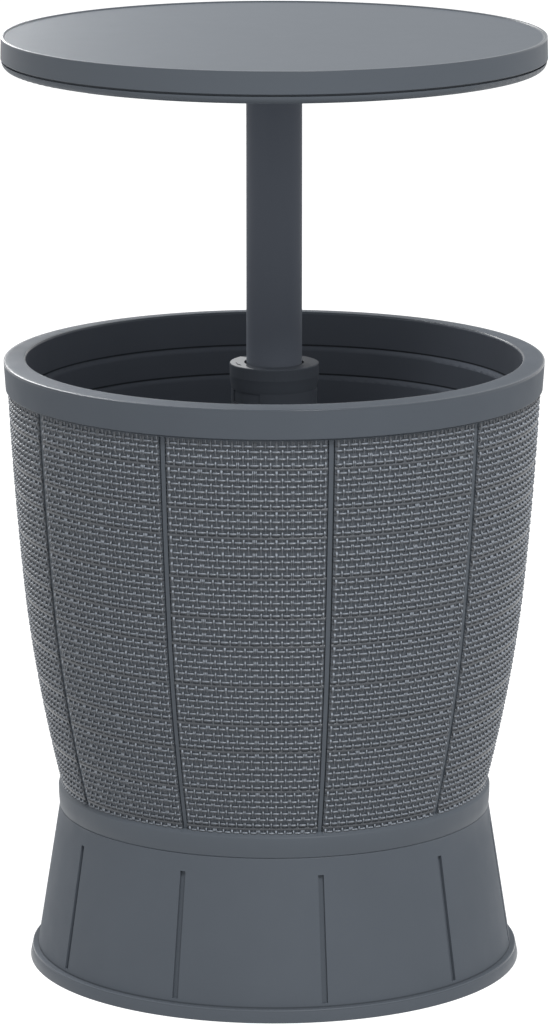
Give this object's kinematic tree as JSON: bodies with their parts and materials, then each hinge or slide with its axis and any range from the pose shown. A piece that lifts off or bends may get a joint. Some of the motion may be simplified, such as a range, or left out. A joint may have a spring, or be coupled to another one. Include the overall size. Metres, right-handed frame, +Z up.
{
  "type": "cooler table",
  "caption": "Round cooler table: insulated tub with a woven-look wall on a conical foot, and a lid that lifts on a centre pole to be a table top.",
  "frame": {"origin": "on the floor under the middle of the tub", "axes": "+Z up along the pole; -Y to the front, the side that the picture shows; +X to the right"},
  "size_m": [0.4965, 0.4966, 0.8646],
  "materials": {
    "slate_plastic": "satin",
    "weave_plastic": "satin",
    "liner_plastic": "satin",
    "post_plastic": "satin",
    "pole_coat": "satin",
    "foam": "matte",
    "rubber": "matte",
    "steel": "satin",
    "bearing_plastic": "satin"
  },
  "bodies": {
    "tub": {"base_skirt": "slate_plastic", "base_screws": "steel", "weave_shell": "weave_plastic", "rim_ring": "slate_plastic", "liner": "liner_plastic", "foam_jacket": "foam", "foam_floor": "foam", "post_sleeve": "post_plastic", "post_foot": "post_plastic", "post_screws": "steel", "sleeve_seal": "rubber", "post_cap": "post_plastic", "guide_bush": "bearing_plastic", "drain_fitting": "post_plastic", "drain_gasket": "rubber", "drain_nut": "post_plastic"},
    "sliding_carriage": {"carriage": "bearing_plastic", "guide_ring": "bearing_plastic"},
    "brake": {"brake_shoe": "bearing_plastic", "brake_pad": "rubber"},
    "table": {"pole": "pole_coat", "lock_cam": "bearing_plastic", "cam_rivets": "steel", "cam_clip": "steel", "lid_hub": "post_plastic", "hub_pin": "steel", "hub_screws": "steel", "lid_bottom": "slate_plastic", "lid_top": "slate_plastic", "lid_foam": "foam", "lid_screws": "steel"},
    "stopper": {"drain_plug": "liner_plastic", "plug_oring": "rubber"}
  },
  "joints": [
    {"name": "table_lift", "type": "slide", "parent": "tub", "child": "sliding_carriage", "axis": [0, 0, 1], "range_m": [-0.2672, 0]},
    {"name": "table_twist", "type": "hinge", "parent": "sliding_carriage", "child": "table", "pos_m": [0, 0, 0.5], "axis": [0, 0, 1], "range_deg": [0, 60]},
    {"name": "brake_press", "type": "slide", "parent": "sliding_carriage", "child": "brake", "axis": [-1, 0, 0], "range_m": [0, 0.0005]},
    {"name": "stopper_pull", "type": "slide", "parent": "tub", "child": "stopper", "axis": [0, 0, 1], "range_m": [0, 0.03]}
  ],
  "couplings": [
    {"joint": "brake_press", "follows": "table_twist", "m_per_rad": 0.00047}
  ]
}
